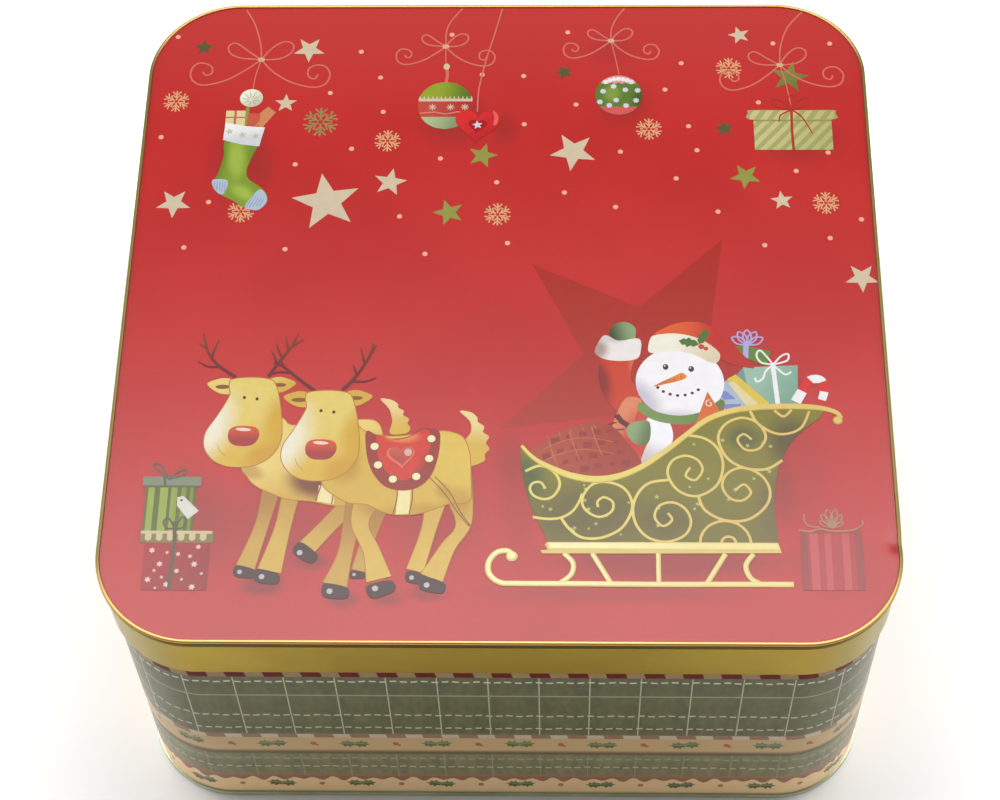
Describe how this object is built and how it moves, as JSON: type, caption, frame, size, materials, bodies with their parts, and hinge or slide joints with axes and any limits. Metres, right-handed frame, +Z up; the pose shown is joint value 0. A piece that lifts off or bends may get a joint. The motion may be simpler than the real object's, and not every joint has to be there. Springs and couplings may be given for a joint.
{
  "type": "cookie tin",
  "caption": "Square tinplate box with rounded corners and a slip lid that lifts straight off, printed all round.",
  "frame": {"origin": "middle of the face the tin stands on", "axes": "+Z up through the lid, -Y to the front of the printed picture"},
  "size_m": [0.2, 0.2, 0.102],
  "materials": {
    "lid_print": "gloss",
    "gold_lacquer": "gloss",
    "wall_print": "gloss",
    "base_lacquer": "satin"
  },
  "bodies": {
    "tin": {"body_wall": "wall_print", "base_panel": "base_lacquer"},
    "lid": {"lid_top_panel": "lid_print", "lid_skirt_ring": "gold_lacquer"}
  },
  "joints": [
    {"name": "lid_lift", "type": "slide", "parent": "tin", "child": "lid", "axis": [0, 0, 1], "range_m": [0, 0.12]}
  ]
}
